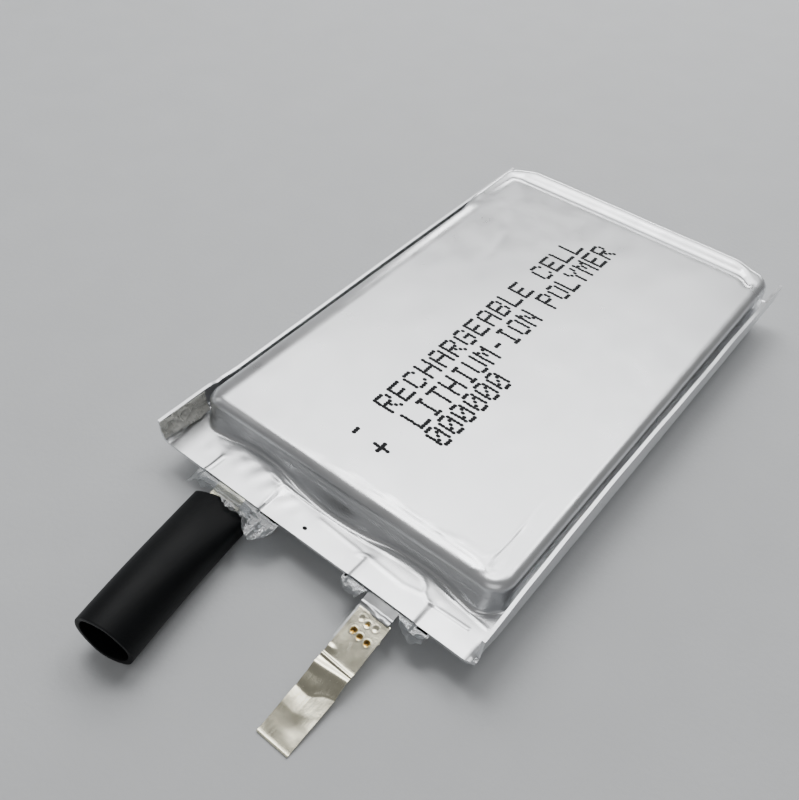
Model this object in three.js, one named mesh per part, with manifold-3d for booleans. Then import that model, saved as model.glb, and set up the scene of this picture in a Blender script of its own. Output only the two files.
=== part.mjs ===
// Lithium-polymer pouch cell: a flat wound cell in a two-cup pouch of aluminium laminate.
// Millimetres. +Z up, towards the printed front face. +Y from the terminal end to the folded end.
// The origin is the centre of the flat back face of the pouch.

import * as THREE from "three";
import { mergeVertices } from "three/addons/utils/BufferGeometryUtils.js";
import Module from "manifold-3d";

const wasm = await Module();
wasm.setup();

// ---------------------------------------------------------------- driving dimensions

// Pouch
const cupWidth = 32.1; // outside of the drawn cups, along X
const cupLength = 48.0; // outside of the drawn cups, along Y
const backCupDepth = 2.7; // back face to seal plane
const frontCupDepth = 3.5; // seal plane to printed face
const laminate = 0.15; // aluminium laminate film
const cornerRadius = 2.0; // cup corners, seen from above
const faceEdgeRadius = 0.9; // edge between a cup's wall and its face
const ledgeLength = 4.1; // sealed ledge in front of the cups
const sideGap = 0.4; // free gap between a cup's wall and its folded side seal
const sideSealHeight = 2.5; // folded side seal above the seal plane
const sideSealOverrun = 0.4; // how far the side seals pass the folded end

// Tabs and their sealing films
const tabWidth = 3.0;
const tabThickness = 0.1;
const positiveTabX = 8.4;
const negativeTabX = -8.0;
const tabInsideLength = 30.0; // tab inside the winding
const filmMargin = 1.65; // clear sealing film past each side of the tab
const filmThickness = 0.08;
const filmFit = 0.01; // between a film and the step that each sheet makes over it
const filmCentreX = 8.15;
const filmInside = 0.5; // film past the ledge, inside the pouch
const filmOutside = 0.65; // film that stands out of the ledge
const bendGap = 0.15; // tab left out on each side of its bend line

// Nickel lead welded on the positive tab
const leadWidth = 3.0;
const leadThickness = 0.1;
const leadLength = 11.1; // along Y, from the welded end to the tip
const leadCentreX = 8.6;
const leadSetback = 0.6; // from the bend line to the welded end
const leadDrop = 0.3; // welded end below the seal plane
const leadTipHeight = 0.06; // middle of the foil at the tip, above the back face
const leadRidgeStart = 3.8; // raised crease across the lead, from the welded end
const leadRidgeLength = 1.0;
const leadRidgeHeight = 0.15;
const weldLength = 2.9; // aluminium tab under the lead
const weldGap = 0.02;

// Insulating sleeve on the negative tab
const sleeveRoom = 1.35; // the round bore is this much wider than the tab
const sleeveWall = 0.4;
const sleeveLength = 14.2;
const sleevePress = 0.35; // the mouth is pressed flat, this much wider than the round end
const sleeveMouthHeight = 2.8;
const sleeveMouthZ = 1.9;
const sleeveTaper = 9.0; // length over which the sleeve becomes round
const sleeveSetback = 0.7; // from the bend line to the mouth
const sleeveLean = 11.0; // degrees, towards +X
const coveredTabLength = 8.0; // bare tab inside the sleeve

// Winding
const tabRiseRoom = 1.45; // between the front wall and the winding, where the tabs rise
const cathodeThickness = 0.12;
const anodeThickness = 0.12;
const separatorThickness = 0.02;
const sheetGap = 0.006; // between neighbouring sheets
const electrodeMargin = 0.6; // each sheet is this much shorter at each end than the one round it
const leastCoreHalfGap = 0.3; // half of the flat gap inside the first turn, at the least
const windingClearance = 0.12; // between the winding and the pouch
const windingTail = 8.0; // last stretch of the sheets, on the back face
const arcSteps = 6; // facets in each half-round of the winding

// Tapes
const tapeThickness = 0.05;
const tapeGap = 0.02; // between a tape and what it covers
const tabTapeMargin = 1.0; // past each side of the tab
const tabTapeLength = 26.0;
const closingTapeWidth = 12.0;
const closingTapeLength = 36.0;
const cornerTapeLength = 4.6;
const cornerTapeHeight = 1.9;
const cornerTapeThickness = 0.1;

// ---------------------------------------------------------------- places that follow from them

const sealZ = backCupDepth;
const topZ = sealZ + frontCupDepth;
const frontWallY = -cupLength / 2;
const farWallY = cupLength / 2;
const ledgeY = frontWallY - ledgeLength;
const bendY = ledgeY - filmOutside;
const filmEndY = frontWallY + filmInside;
const filmWidth = tabWidth + 2 * filmMargin;
const filmStep = tabThickness / 2 + filmThickness; // outer face of a film from the seal plane
const tabTapeWidth = tabWidth + 2 * tabTapeMargin;
const sleeveDiameter = tabWidth + sleeveRoom + 2 * sleeveWall;
const sleeveMouthWidth = sleeveDiameter + sleevePress;
const flangeX = cupWidth / 2 + sideGap; // inner face of the folded side seals
const windingZ = topZ / 2;
const innerCorner = cornerRadius - laminate;
const cornerRoom = innerCorner - Math.sqrt(innerCorner ** 2 - (innerCorner - windingClearance) ** 2);
const windingStartY = frontWallY + laminate + Math.max(tabRiseRoom, cornerRoom + windingClearance);
const windingEndY = farWallY - laminate - cornerRoom - windingClearance;
const windingLength = windingEndY - windingStartY;
const windingMiddleY = (windingStartY + windingEndY) / 2;
const windingPitch = cathodeThickness + anodeThickness + 2 * separatorThickness + 4 * sheetGap;
const windingRoom = topZ / 2 - laminate - windingClearance - tapeThickness - tapeGap;
const windingTurns = Math.floor((windingRoom - leastCoreHalfGap) / windingPitch) - 1;
const coreHalfGap = windingRoom - (windingTurns + 1) * windingPitch;
const roundCentreX = cupWidth / 2 - laminate - windingClearance - windingRoom;
const coreZ = windingZ - windingPitch / 4; // middle of the flat gap in the core
const leadStartY = bendY - leadSetback;
const leadStartZ = sealZ - leadDrop;
const leadSlope = (leadStartZ - leadTipHeight) / leadLength;

// ---------------------------------------------------------------- shared geometry

// A geometry as a manifold-3d solid. Its points go to a fine grid, so that flush faces of two
// solids lie in exactly one plane.
const gridStep = 1 / 1024;
function solid(geometry) {
  const bare = geometry.clone();
  bare.deleteAttribute("normal");
  bare.deleteAttribute("uv");
  const merged = mergeVertices(bare, gridStep / 4);
  const places = merged.getAttribute("position").array;
  return new wasm.Manifold(
    new wasm.Mesh({
      numProp: 3,
      vertProperties: places.map((value) => Math.round(value / gridStep) * gridStep),
      triVerts: new Uint32Array(merged.getIndex().array),
    }),
  );
}

// A manifold-3d solid as a geometry.
function geometryOf(body) {
  const mesh = body.getMesh();
  const geometry = new THREE.BufferGeometry();
  geometry.setAttribute("position", new THREE.BufferAttribute(mesh.vertProperties, 3));
  geometry.setIndex(new THREE.BufferAttribute(mesh.triVerts, 1));
  return geometry;
}

// A box between its lowest and highest corners.
function block(low, high) {
  const size = high.map((value, i) => value - low[i]);
  const middle = high.map((value, i) => (value + low[i]) / 2);
  return new THREE.BoxGeometry(...size).translate(...middle);
}

// A rounded rectangle centred on the origin.
function roundedRectangle(width, length, radius) {
  const x = width / 2 - radius;
  const y = length / 2 - radius;
  const shape = new THREE.Shape();
  shape.absarc(x, y, radius, 0, Math.PI / 2, false);
  shape.absarc(-x, y, radius, Math.PI / 2, Math.PI, false);
  shape.absarc(-x, -y, radius, Math.PI, 1.5 * Math.PI, false);
  shape.absarc(x, -y, radius, 1.5 * Math.PI, 2 * Math.PI, false);
  shape.closePath();
  return shape;
}

// Turns a shape drawn in (X, Z) into a bar that runs along Y from startY.
function alongY(shape, startY, length) {
  const bar = new THREE.ExtrudeGeometry(shape, { depth: length, bevelEnabled: false });
  const turn = new THREE.Matrix4();
  turn.set(1, 0, 0, 0, 0, 0, -1, startY + length, 0, 1, 0, 0, 0, 0, 0, 1);
  return bar.applyMatrix4(turn);
}

// A bent strip of foil. Its middle line is drawn in (Y, Z), and it is width wide along X.
function bentStrip(line, thickness, width, centreX) {
  const points = line.map(([y, z]) => new THREE.Vector2(y, z));
  const legs = points.slice(1).map((point, i) => point.clone().sub(points[i]).normalize());
  const offsets = points.map((point, i) => {
    const into = legs[Math.max(i - 1, 0)];
    const out = legs[Math.min(i, legs.length - 1)];
    const along = into.clone().add(out).normalize();
    const reach = thickness / 2 / along.dot(into);
    return new THREE.Vector2(-along.y, along.x).multiplyScalar(reach);
  });
  const upper = points.map((point, i) => point.clone().add(offsets[i]));
  const lower = points.map((point, i) => point.clone().sub(offsets[i]));
  const shape = new THREE.Shape([...upper, ...lower.reverse()]);
  const strip = new THREE.ExtrudeGeometry(shape, { depth: width, bevelEnabled: false });
  const turn = new THREE.Matrix4();
  turn.set(0, 0, 1, centreX - width / 2, 1, 0, 0, 0, 0, 1, 0, 0, 0, 0, 0, 1);
  return strip.applyMatrix4(turn);
}

// ---------------------------------------------------------------- the assembly

const cell = new THREE.Group();

const finishes = {
  laminate: { color: 0xd4d6d8, roughness: 0.35, metalness: 0.8 },
  aluminium: { color: 0xb9bbbd, roughness: 0.4, metalness: 1 },
  nickel: { color: 0xc9c2b2, roughness: 0.3, metalness: 1 },
  film: { color: 0xdfe3e6, roughness: 0.25, metalness: 0 },
  sleeve: { color: 0x141517, roughness: 0.6, metalness: 0 },
  cathode: { color: 0x2b2b2e, roughness: 0.8, metalness: 0 },
  anode: { color: 0x3a3d40, roughness: 0.7, metalness: 0 },
  separator: { color: 0xf2f2ee, roughness: 0.6, metalness: 0 },
  tape: { color: 0x2f8f5b, roughness: 0.4, metalness: 0 },
};

// Adds one named piece to the cell.
function addPiece(name, geometry, finish) {
  const mesh = new THREE.Mesh(geometry, new THREE.MeshStandardMaterial(finishes[finish]));
  mesh.name = name;
  cell.add(mesh);
}

// ---------------------------------------------------------------- pouch sheets

// The form of a drawn cup, inset from its outside. Its face is at height depth - inset, and its
// straight walls reach below height 0, where the cup is open.
function cupForm(inset, depth) {
  const outline = roundedRectangle(
    cupWidth - 2 * faceEdgeRadius,
    cupLength - 2 * faceEdgeRadius,
    cornerRadius - faceEdgeRadius,
  );
  const edge = faceEdgeRadius - inset;
  const wall = depth - inset - edge + faceEdgeRadius;
  const form = new THREE.ExtrudeGeometry(outline, {
    depth: wall,
    bevelThickness: edge,
    bevelSize: edge,
    bevelSegments: 4,
    curveSegments: 5,
  });
  return form.translate(0, 0, -faceEdgeRadius);
}

// One half of the pouch, with its bond face at height 0 and its cup upwards: the cup, the ledge
// with a step over each tab film, and this sheet's layer of the two folded side seals.
function pouchSheet(depth, layerX, layerLow, layerHigh) {
  const reachX = layerX + laminate;
  const sealedEndY = farWallY + sideSealOverrun;
  const rim = solid(block([-reachX, ledgeY, 0], [reachX, farWallY, laminate]));
  const belowBond = solid(block([-cupWidth, -cupLength, -cupWidth], [cupWidth, cupLength, 0]));
  let sheet = solid(cupForm(0, depth)).subtract(belowBond).add(rim);
  const stepX = filmWidth / 2 + filmFit;
  const stepHeight = filmStep + filmFit;
  for (const x of [-filmCentreX, filmCentreX]) {
    const low = [x - stepX - laminate, ledgeY, 0];
    const high = [x + stepX + laminate, frontWallY + laminate, stepHeight + laminate];
    sheet = sheet.add(solid(block(low, high)));
  }
  sheet = sheet.subtract(solid(cupForm(laminate, depth)));
  for (const x of [-filmCentreX, filmCentreX]) {
    const low = [x - stepX, ledgeY - laminate, -laminate];
    const high = [x + stepX, filmEndY + filmFit, stepHeight];
    sheet = sheet.subtract(solid(block(low, high)));
  }
  for (const side of [-1, 1]) {
    const x = [side * layerX, side * reachX].sort((a, b) => a - b);
    const layer = block([x[0], ledgeY, layerLow], [x[1], sealedEndY, layerHigh]);
    sheet = sheet.add(solid(layer));
  }
  return geometryOf(sheet);
}

// Front sheet: the printed face, and the inner layer of the side seals.
const frontSheet = pouchSheet(frontCupDepth, flangeX, 0, sideSealHeight);
addPiece("pouch_front_sheet", frontSheet.translate(0, 0, sealZ), "laminate");

// Back sheet: drawn the same way and turned over, with the outer layer of the side seals.
const backSheet = pouchSheet(backCupDepth, flangeX + laminate, -sideSealHeight, laminate);
const turnOver = new THREE.Matrix4().makeScale(-1, 1, -1);
addPiece("pouch_back_sheet", backSheet.applyMatrix4(turnOver).translate(0, 0, sealZ), "laminate");

// ---------------------------------------------------------------- winding

// One sheet of the flat winding, between two distances from the winding's guide line: half-rounds
// at the two edges, joined by straight runs, growing by one pitch a turn.
function windingSheet(nearest, thickness, length) {
  const guide = [];
  for (let half = 0; half < 2 * windingTurns; half++) {
    const centreX = half % 2 ? -roundCentreX : roundCentreX;
    for (let step = 0; step <= arcSteps; step++) {
      const turns = (half + step / arcSteps) / 2;
      guide.push({ centreX, turns });
    }
  }
  guide.push({ centreX: windingTail - roundCentreX, turns: windingTurns });
  const lineAt = (distance) =>
    guide.map(({ centreX, turns }) => {
      const angle = (turns * 2 - 0.5) * Math.PI;
      const radius = coreHalfGap + turns * windingPitch + distance;
      return new THREE.Vector2(centreX + radius * Math.cos(angle), radius * Math.sin(angle));
    });
  const shape = new THREE.Shape([...lineAt(nearest), ...lineAt(nearest + thickness).reverse()]);
  return alongY(shape, windingMiddleY - length / 2, length).translate(0, 0, windingZ);
}

const anodeLength = windingLength - 2 * electrodeMargin;
const cathodeLength = anodeLength - 2 * electrodeMargin;
const windingSheets = [
  ["cathode_sheet", cathodeThickness, cathodeLength, "cathode"],
  ["inner_separator", separatorThickness, windingLength, "separator"],
  ["anode_sheet", anodeThickness, anodeLength, "anode"],
  ["outer_separator", separatorThickness, windingLength, "separator"],
];
let nearest = 0;
for (const [name, thickness, length, finish] of windingSheets) {
  addPiece(name, windingSheet(nearest, thickness, length), finish);
  nearest += thickness + sheetGap;
}

// Closing tape over the free end of the sheets, on the back of the winding.
const closingTapeTop = windingZ - windingRoom - tapeGap;
const closingTapeX = windingTail - roundCentreX;
const closingTapeStartY = windingMiddleY - closingTapeLength / 2;
const closingTape = block(
  [closingTapeX - closingTapeWidth / 2, closingTapeStartY, closingTapeTop - tapeThickness],
  [closingTapeX + closingTapeWidth / 2, closingTapeStartY + closingTapeLength, closingTapeTop],
);
addPiece("closing_tape", closingTape, "tape");

// ---------------------------------------------------------------- tabs, films and tab tapes

// The part of a tab that does not move: out through the ledge, and into the core of the winding.
function rootTab(x) {
  const line = [
    [bendY + bendGap, sealZ],
    [filmEndY + bendGap, sealZ],
    [windingStartY - bendGap, coreZ],
    [windingStartY + tabInsideLength, coreZ],
  ];
  return bentStrip(line, tabThickness, tabWidth, x);
}

for (const [polarity, x, side, finish] of [
  ["positive", positiveTabX, 1, "aluminium"],
  ["negative", negativeTabX, -1, "nickel"],
]) {
  addPiece(polarity + "_tab_root", rootTab(x), finish);

  // Sealing films, above and below the tab in the ledge.
  const filmX = side * filmCentreX;
  for (const [place, low] of [
    ["upper", sealZ + tabThickness / 2],
    ["lower", sealZ - filmStep],
  ]) {
    const corner = [filmX - filmWidth / 2, bendY, low];
    const film = block(corner, [filmX + filmWidth / 2, filmEndY, low + filmThickness]);
    addPiece(polarity + "_tab_film_" + place, film, "film");
  }

  // Tapes over the tab's weld to its foil, in the core of the winding.
  const tapeStartY = windingStartY + electrodeMargin;
  for (const [place, low] of [
    ["upper", coreZ + tabThickness / 2 + tapeGap],
    ["lower", coreZ - tabThickness / 2 - tapeGap - tapeThickness],
  ]) {
    const corner = [x - tabTapeWidth / 2, tapeStartY, low];
    const far = [x + tabTapeWidth / 2, tapeStartY + tabTapeLength, low + tapeThickness];
    addPiece(polarity + "_tab_tape_" + place, block(corner, far), "tape");
  }
}

// ---------------------------------------------------------------- positive tab and its lead

// Middle height of the lead where it lies straight, at a distance from its welded end.
function leadHeight(distance) {
  return leadStartZ - leadSlope * distance;
}

// Aluminium tab outside the bend: it dips under the welded end of the lead.
const underLead = (tabThickness + leadThickness) / 2 + weldGap;
const positiveTab = [
  [bendY - bendGap, sealZ],
  [bendY - 2 * bendGap, sealZ],
  [leadStartY + bendGap / 3, leadHeight(0) - underLead],
  [leadStartY - weldLength, leadHeight(weldLength) - underLead],
];
addPiece(
  "positive_tab",
  bentStrip(positiveTab, tabThickness, tabWidth, positiveTabX),
  "aluminium",
);

// Nickel lead, with a raised crease across it past the weld, down to its tip.
const ridgeTop = leadRidgeStart + leadRidgeLength / 2;
const ridgeEnd = leadRidgeStart + leadRidgeLength;
const positiveLead = [
  [leadStartY, leadHeight(0)],
  [leadStartY - leadRidgeStart, leadHeight(leadRidgeStart)],
  [leadStartY - ridgeTop, leadHeight(ridgeTop) + leadRidgeHeight],
  [leadStartY - ridgeEnd, leadHeight(ridgeEnd)],
  [leadStartY - leadLength, leadHeight(leadLength)],
];
addPiece(
  "positive_lead",
  bentStrip(positiveLead, leadThickness, leadWidth, leadCentreX),
  "nickel",
);

// ---------------------------------------------------------------- negative tab and its sleeve

const lean = THREE.MathUtils.degToRad(sleeveLean);
const mouthY = bendY - sleeveSetback;
const mouthX = negativeTabX + sleeveSetback * Math.tan(lean);

// Nickel tab outside the bend: it comes down to the middle of the sleeve's mouth and leans with
// the sleeve.
const negativeTab = [
  [bendY - bendGap, sealZ],
  [bendY - 2 * bendGap, sealZ - tabThickness / 2],
  [mouthY - sleeveSetback, sleeveMouthZ + 3 * tabThickness],
  [mouthY - coveredTabLength, sleeveMouthZ + 2 * tabThickness],
];
const leaning = new THREE.Matrix4();
leaning.set(1, -Math.tan(lean), 0, bendY * Math.tan(lean), 0, 1, 0, 0, 0, 0, 1, 0, 0, 0, 0, 1);
addPiece(
  "negative_tab",
  bentStrip(negativeTab, tabThickness, tabWidth, negativeTabX).applyMatrix4(leaning),
  "nickel",
);

// Sleeve: a tube, round at its free end and pressed flat at its mouth, lying on the back plane.
const sleeveRings = 8;
const sleeveFacets = 24;
const outerRadius = sleeveDiameter / 2;
const boreRadius = outerRadius - sleeveWall;
const ringPlaces = [...Array(sleeveRings + 1).keys()].map((i) => (i * sleeveLength) / sleeveRings);
const sleeveProfile = [
  ...ringPlaces.map((place) => new THREE.Vector2(boreRadius, place)),
  ...ringPlaces.toReversed().map((place) => new THREE.Vector2(outerRadius, place)),
  new THREE.Vector2(boreRadius, 0),
];
const sleeve = new THREE.LatheGeometry(sleeveProfile, sleeveFacets);
const sleevePoints = sleeve.getAttribute("position");
for (let i = 0; i < sleevePoints.count; i++) {
  const across = sleevePoints.getX(i);
  const place = sleevePoints.getY(i);
  const up = sleevePoints.getZ(i);
  const radius = Math.hypot(across, up);
  const inset = outerRadius - radius;
  const roundness = THREE.MathUtils.smoothstep(place, 0, sleeveTaper);
  const halfWidth = THREE.MathUtils.lerp(sleeveMouthWidth / 2, outerRadius, roundness) - inset;
  const halfHeight = THREE.MathUtils.lerp(sleeveMouthHeight / 2, outerRadius, roundness) - inset;
  const middleZ = THREE.MathUtils.lerp(sleeveMouthZ, outerRadius, roundness);
  const sideways = (across / radius) * halfWidth;
  sleevePoints.setXYZ(
    i,
    mouthX + place * Math.sin(lean) + sideways * Math.cos(lean),
    mouthY - place * Math.cos(lean) + sideways * Math.sin(lean),
    middleZ + (up / radius) * halfHeight,
  );
}
addPiece("negative_tab_sleeve", geometryOf(solid(sleeve)), "sleeve");

// ---------------------------------------------------------------- corner tape

// Clear tape on the inside of the left side seal, at the ledge.
const cornerTapeX = tapeGap - flangeX;
const cornerTapeTop = sealZ + sideSealHeight;
const cornerTape = block(
  [cornerTapeX, ledgeY + tapeGap, cornerTapeTop - cornerTapeHeight],
  [cornerTapeX + cornerTapeThickness, ledgeY + cornerTapeLength, cornerTapeTop],
);
addPiece("corner_tape", cornerTape, "film");

export default cell;
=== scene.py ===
# Flat lithium-polymer pouch cell with a sealed ledge, folded side seals, an aluminium tab with a
# welded nickel lead, and a nickel tab in a black insulating sleeve.
# Sizes are in millimetres and are turned to metres when a mesh is finished.
import math
import bpy
import numpy as np
from mathutils import Matrix, Vector


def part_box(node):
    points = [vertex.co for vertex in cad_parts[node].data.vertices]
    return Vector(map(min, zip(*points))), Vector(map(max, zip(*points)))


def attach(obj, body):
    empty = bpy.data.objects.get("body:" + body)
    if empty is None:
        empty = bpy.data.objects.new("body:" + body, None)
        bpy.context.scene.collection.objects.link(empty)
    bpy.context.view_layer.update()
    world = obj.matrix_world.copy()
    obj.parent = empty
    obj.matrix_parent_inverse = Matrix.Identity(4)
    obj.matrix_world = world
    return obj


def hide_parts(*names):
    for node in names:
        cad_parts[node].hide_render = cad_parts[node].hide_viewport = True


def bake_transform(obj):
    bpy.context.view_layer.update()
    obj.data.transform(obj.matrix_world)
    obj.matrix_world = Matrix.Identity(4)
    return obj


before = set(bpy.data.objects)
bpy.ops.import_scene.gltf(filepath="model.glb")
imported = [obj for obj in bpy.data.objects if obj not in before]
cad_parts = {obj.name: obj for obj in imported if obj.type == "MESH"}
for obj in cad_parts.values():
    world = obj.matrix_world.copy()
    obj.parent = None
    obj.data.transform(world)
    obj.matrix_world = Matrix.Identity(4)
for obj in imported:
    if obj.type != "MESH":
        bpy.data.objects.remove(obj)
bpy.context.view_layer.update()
mm = 0.001


# ---------------------------------------------------------------- camera, light and floor
# The cell lies on a pale table and is seen from its terminal end, a little from the right and
# from above. One wide softbox stands behind it, so the satin face mirrors it towards the eye.
aim = Vector((-3.7, -7.35, -0.17)) * mm
azimuth, elevation, roll = (math.radians(a) for a in (36.4, 46.4, 2.7))
camera_distance = 85.7 * mm
sensor_width = 36.0
focal_length = 40.19
sideways_shift = -0.0357
nearest_shown = 5 * mm

towards_camera = Vector((
    math.sin(azimuth) * math.cos(elevation),
    -math.cos(azimuth) * math.cos(elevation),
    math.sin(elevation),
))
level = Vector((0, 0, 1)).cross(towards_camera).normalized()
upright = towards_camera.cross(level)
right = math.cos(roll) * level + math.sin(roll) * upright
up = math.cos(roll) * upright - math.sin(roll) * level
camera = bpy.data.objects.new("camera", bpy.data.cameras.new("camera"))
bpy.context.scene.collection.objects.link(camera)
camera.matrix_world = Matrix.Translation(aim + camera_distance * towards_camera) @ Matrix(
    (right, up, towards_camera)
).transposed().to_4x4()
camera.data.sensor_width = sensor_width
camera.data.lens = focal_length
camera.data.shift_x = sideways_shift
camera.data.clip_start = nearest_shown
bpy.context.scene.camera = camera

# The small lamps are brighter than the window. They draw the lines on the seal's beads, on the
# face's wrinkles and on the lead. The low window lights the walls and the roll at the far end.
# Softboxes: name, direction from the cell, distance, width, height, power.
softboxes = [
    ("window_behind", (-0.36, 0.44, 0.83), 0.42, 0.38, 0.25, 1.00),
    ("bright_lamp", (-0.14, 0.20, 0.97), 0.42, 0.09, 0.06, 0.20),
    ("overhead_lamp", (-0.34, 0.14, 0.93), 0.42, 0.15, 0.10, 0.30),
    ("right_strip", (0.16, 0.51, 0.85), 0.42, 0.12, 0.12, 0.30),
    ("low_window", (-0.42, 0.89, 0.14), 0.50, 0.50, 0.09, 1.50),
    ("front_fill", (0.45, -0.75, 0.60), 0.50, 0.30, 0.25, 0.30),
    ("left_fill", (-1.00, -0.45, 0.55), 0.45, 0.20, 0.25, 0.12),
]
for name, direction, distance, width, height, power in softboxes:
    light = bpy.data.lights.new(name, "AREA")
    light.shape = "RECTANGLE"
    light.size, light.size_y = width, height
    light.energy = power
    lamp = bpy.data.objects.new(name, light)
    bpy.context.scene.collection.objects.link(lamp)
    away = Vector(direction).normalized()
    lamp.location = away * distance
    lamp.rotation_euler = away.to_track_quat("Z", "Y").to_euler()

studio_grey = 0.21
world = bpy.data.worlds.new("studio")
world.use_nodes = True
background = world.node_tree.nodes["Background"]
background.inputs["Color"].default_value = (studio_grey, studio_grey, studio_grey, 1)
background.inputs["Strength"].default_value = 1.0
bpy.context.scene.world = world


# ---------------------------------------------------------------- materials' tools, and the table
# The table is pale matt laminate board. It is not part of the cell.
def colour(code):
    """An sRGB hex colour as linear red, green, blue and alpha."""
    parts = [int(code[i:i + 2], 16) / 255 for i in (1, 3, 5)]
    return (*[c / 12.92 if c <= 0.04045 else ((c + 0.055) / 1.055) ** 2.4 for c in parts], 1)


def add_node(tree, kind, settings=None, links=None):
    """A new node. Settings are its properties or its unlinked inputs, links feed its inputs."""
    node = tree.nodes.new("ShaderNode" + kind)
    for key, value in (settings or {}).items():
        if isinstance(key, str) and hasattr(node, key):
            setattr(node, key, value)
        else:
            node.inputs[key].default_value = value
    for key, source in (links or {}).items():
        tree.links.new(source, node.inputs[key])
    return node


def start_material(name, finish):
    """A material with its finish set on the shader, its node tree, shader and object places."""
    material = bpy.data.materials.new(name)
    material.use_nodes = True
    tree = material.node_tree
    shader = tree.nodes["Principled BSDF"]
    for key, value in finish.items():
        shader.inputs[key].default_value = value
    places = add_node(tree, "TexCoord").outputs["Object"]
    return material, tree, shader, places


def feed(tree, shader, tone, rough, surface):
    """Links a node's colour, another's roughness and a third's normal to the shader."""
    for node, output, socket in (
        (tone, 2, "Base Color"), (rough, 0, "Roughness"), (surface, 0, "Normal")
    ):
        if node:
            tree.links.new(node.outputs[output], shader.inputs[socket])


table_size = 3.0
table_gap = 0.02
bpy.ops.object.select_all(action="DESELECT")
bpy.ops.mesh.primitive_plane_add(size=table_size, location=(0, 0, -table_gap * mm))
table = bpy.context.object
table.name = "table"
board, tree, shader, places = start_material("matt_white_board", {"Roughness": 0.7})
cloud = add_node(tree, "TexNoise", {"Scale": 1 / (6 * mm), "Detail": 3.0}, {"Vector": places})
tone = add_node(tree, "Mix", {"data_type": "RGBA", 6: colour("#BDBFC1"), 7: colour("#C5C7C9")},
                {0: cloud.outputs["Fac"]})
fine = add_node(tree, "TexNoise", {"Scale": 1 / (0.5 * mm), "Detail": 2.0}, {"Vector": places})
surface = add_node(tree, "Bump", {"Distance": 0.02 * mm}, {"Height": fine.outputs["Fac"]})
feed(tree, shader, tone, None, surface)
table.data.materials.append(board)


# ---------------------------------------------------------------- pouch: the two drawn sheets
# One sheet of nylon-faced aluminium laminate makes both halves. Each half is a flat blank, drawn
# over a die into a cup; the halves are folded together at the far end, heat-sealed along the
# ledge and both sides, and the side seals are folded up against the cup.
laminate = 0.15
side_gap = 0.4
corner_radius = 2.0
face_radius = 0.9
wall_draft = 0.03
sheet_low, sheet_high = (np.array(corner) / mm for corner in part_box("pouch_front_sheet"))
seal_z, top_z = sheet_low[2], sheet_high[2]
ledge_y, flange_end_y = sheet_low[1], sheet_high[1]
flange_x = sheet_high[0] - laminate
flange_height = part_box("pouch_back_sheet")[1].z / mm - seal_z
cup_x, cup_y = flange_x - side_gap, flange_end_y - side_gap
core_x, core_y = cup_x - corner_radius, cup_y - corner_radius
fold_bead = 0.12
fold_bead_height = 0.3
front_rim = 2.6
film_x, film_half = 8.15, 3.15
film_lift = 0.13
crushed_depth = 1.70
side_bend, widest_bend = 0.15, 0.70
side_foot, front_foot = 0.16, 0.40

# Grid lines of the blank: rings round the face, then the ledge's rows and the flanges' columns.
face_rings, edge_rings, wall_rings, foot_rings, rim_rings = 6, 7, 10, 5, 4
rings = face_rings + edge_rings + wall_rings + foot_rings + rim_rings
bend_lines, flange_lines = 4, 10


def smooth(value, low, high):
    """0 below low, 1 above high, and a smooth rise between them."""
    part = np.clip((value - low) / (high - low), 0, 1)
    return part * part * (3 - 2 * part)


def places_of(piece):
    """The vertices of a piece as an array of millimetres."""
    flat = np.empty(3 * len(piece.data.vertices))
    piece.data.vertices.foreach_get("co", flat)
    return flat.reshape(-1, 3) / mm


def move_to(piece, points):
    """Moves the vertices of a piece to places in millimetres."""
    piece.data.vertices.foreach_set("co", (points * mm).astype(np.float32).ravel())
    piece.data.update()


def ripple(x, y, size, seed):
    """A soft random wave between about -1 and 1, with humps of that size in millimetres."""
    random = np.random.default_rng(seed)
    total = np.zeros_like(x)
    for angle, stretch, phase in zip(
        random.uniform(0, math.pi, 9), random.uniform(0.6, 1.5, 9), random.uniform(0, 6.3, 9)
    ):
        along = x * math.cos(angle) + y * math.sin(angle)
        total += np.sin(along * 2 * math.pi / (2 * size * stretch) + phase)
    return total / 4


def distance_to(x, y, line):
    """The distance of each point from a line of straight stretches."""
    nearest = np.full_like(x, 1e3)
    for (x0, y0), (x1, y1) in zip(line, line[1:]):
        run = np.array((x1 - x0, y1 - y0))
        part = np.clip(((x - x0) * run[0] + (y - y0) * run[1]) / (run @ run), 0, 1)
        nearest = np.minimum(nearest, np.hypot(x - x0 - part * run[0], y - y0 - part * run[1]))
    return nearest


def new_piece(name):
    """The object that an operator has just added, with that name."""
    piece = bpy.context.object
    piece.name = piece.data.name = name
    return piece


def grid_lines(half, cells, bunching, low_extra, high_extra):
    """The blank's lines in one direction: place on the flat core, ring number, extra number."""
    even = np.linspace(-1, 1, cells + 1)
    core = half * (even + bunching * np.sin(np.pi * even) / np.pi)
    low, high = np.full(low_extra + rings, -half), np.full(rings + high_extra, half)
    ring = [np.full(low_extra, -rings), np.arange(-rings, 0), np.zeros(cells + 1),
            np.arange(1, rings + 1), np.full(high_extra, rings)]
    extra = [np.arange(-low_extra, 0), np.zeros(2 * rings + cells + 1),
             np.arange(1, high_extra + 1)]
    return np.concatenate([low, core, high]), np.concatenate(ring), np.concatenate(extra)


def ledge_bend(y):
    """Radius of the bend from the ledge up into the side seal: it opens towards the terminals."""
    return side_bend + (widest_bend - side_bend) * smooth(-y, 24.6, 27.2)


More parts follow.
